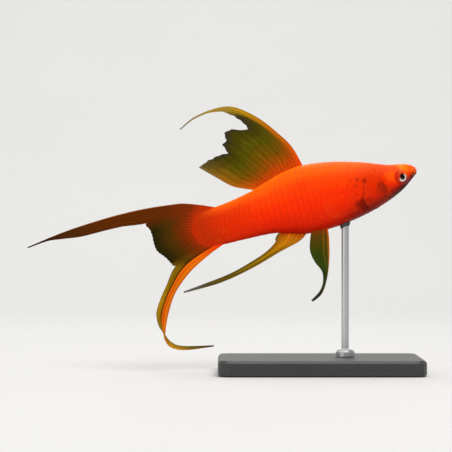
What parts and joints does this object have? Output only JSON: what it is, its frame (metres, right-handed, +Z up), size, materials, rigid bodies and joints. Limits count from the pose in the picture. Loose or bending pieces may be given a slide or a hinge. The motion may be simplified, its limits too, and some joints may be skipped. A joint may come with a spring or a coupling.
{
  "type": "swordtail fish display model",
  "caption": "Life-size still model of a male red lyretail swordtail, nose up with spread fins, on a flat stand with a slim rod.",
  "frame": {"origin": "centre of the underside of the stand's base", "axes": "+X towards the fish's head, +Y to the fish's left, +Z up"},
  "size_m": [0.1314, 0.046, 0.0885],
  "materials": {
    "body_red": "painted, satin, orange-red skin with fine scales",
    "eye_gloss": "glossy, dark pupil in a silver and red iris",
    "dorsal_olive": "painted, thin, red at the root, olive and ochre outwards",
    "tail_red": "painted, thin, red at the root, olive towards the edge",
    "sword_ochre": "painted, orange-brown with a pale edge",
    "lyre_orange": "painted, bright orange band and an olive strip",
    "curl_gold": "painted, gold fading to grey at the tip",
    "anal_ochre": "painted, ochre with a grey tip",
    "pelvic_green": "painted, green with an ochre leading ray",
    "clear_fin": "thin clear film with faint rays",
    "stand_base_black": "plain, satin",
    "stand_steel": "brushed"
  },
  "bodies": {
    "root": {"head": "body_red", "jaw_lower": "body_red", "trunk": "body_red", "tail_stalk": "body_red", "eye_left": "eye_gloss", "eye_right": "eye_gloss", "dorsal_fin": "dorsal_olive", "dorsal_filament": "dorsal_olive", "caudal_web": "tail_red", "caudal_lobe_upper": "sword_ochre", "caudal_lobe_lower": "lyre_orange", "caudal_curl": "curl_gold", "gonopodium": "anal_ochre", "pelvic_fin_left": "pelvic_green", "pelvic_fin_right": "pelvic_green", "pectoral_fin_left": "clear_fin", "pectoral_fin_right": "clear_fin", "stand_base": "stand_base_black", "stand_collar": "stand_steel", "stand_rod": "stand_steel"}
  },
  "joints": []
}
